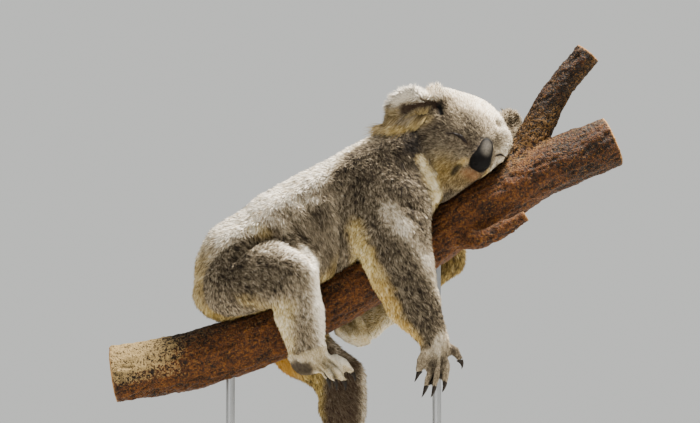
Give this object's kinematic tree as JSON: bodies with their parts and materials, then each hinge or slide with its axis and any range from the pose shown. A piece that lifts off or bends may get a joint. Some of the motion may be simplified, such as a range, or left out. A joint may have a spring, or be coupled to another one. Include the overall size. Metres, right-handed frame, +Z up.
{
  "type": "sleeping koala on a branch, display model",
  "caption": "Life-size koala asleep along a forked branch with its limbs hanging down, on a flat display base with rods.",
  "frame": {"origin": "middle of the underside of the stand's base, on the floor", "axes": "+X along the branch towards the koala's head, +Y towards its left side, +Z up"},
  "size_m": [0.8215, 0.2448, 0.7412],
  "materials": {
    "coat": "dense soft grey fur, mottled light and dark, cream on the inner limbs and throat",
    "nose_skin": "smooth bare black skin with a dull shine",
    "eyelid": "closed lid under short grey hair",
    "claw": "dark polished horn",
    "bark": "rough pitted red-brown bark, pale sawn ends",
    "stand_board": "board painted matt warm grey",
    "stand_steel": "brushed steel rod"
  },
  "bodies": {
    "root": {"upper_arm_right": "coat", "forearm_right": "coat", "hand_right": "coat", "claw_right_hand_thumb": "claw", "claw_right_hand_finger_2": "claw", "claw_right_hand_finger_3": "claw", "claw_right_hand_finger_4": "claw", "claw_right_hand_finger_5": "claw", "upper_arm_left": "coat", "forearm_left": "coat", "hand_left": "coat", "claw_left_hand_thumb": "claw", "claw_left_hand_finger_2": "claw", "claw_left_hand_finger_3": "claw", "claw_left_hand_finger_4": "claw", "claw_left_hand_finger_5": "claw", "thigh_right": "coat", "shank_right": "coat", "foot_right": "coat", "claw_right_foot_toe_2": "claw", "claw_right_foot_toe_3": "claw", "claw_right_foot_toe_4": "claw", "claw_right_foot_toe_5": "claw", "thigh_left": "coat", "shank_left": "coat", "foot_left": "coat", "claw_left_foot_toe_2": "claw", "claw_left_foot_toe_3": "claw", "claw_left_foot_toe_4": "claw", "claw_left_foot_toe_5": "claw", "ear_right": "coat", "ear_left": "coat", "nose": "nose_skin", "eye_right": "eyelid", "eye_left": "eyelid", "pelvis": "coat", "abdomen": "coat", "chest": "coat", "neck": "coat", "head": "coat", "stand_rod_rear": "stand_steel", "stand_rod_front": "stand_steel", "branch": "bark", "stand_base": "stand_board"}
  },
  "joints": []
}
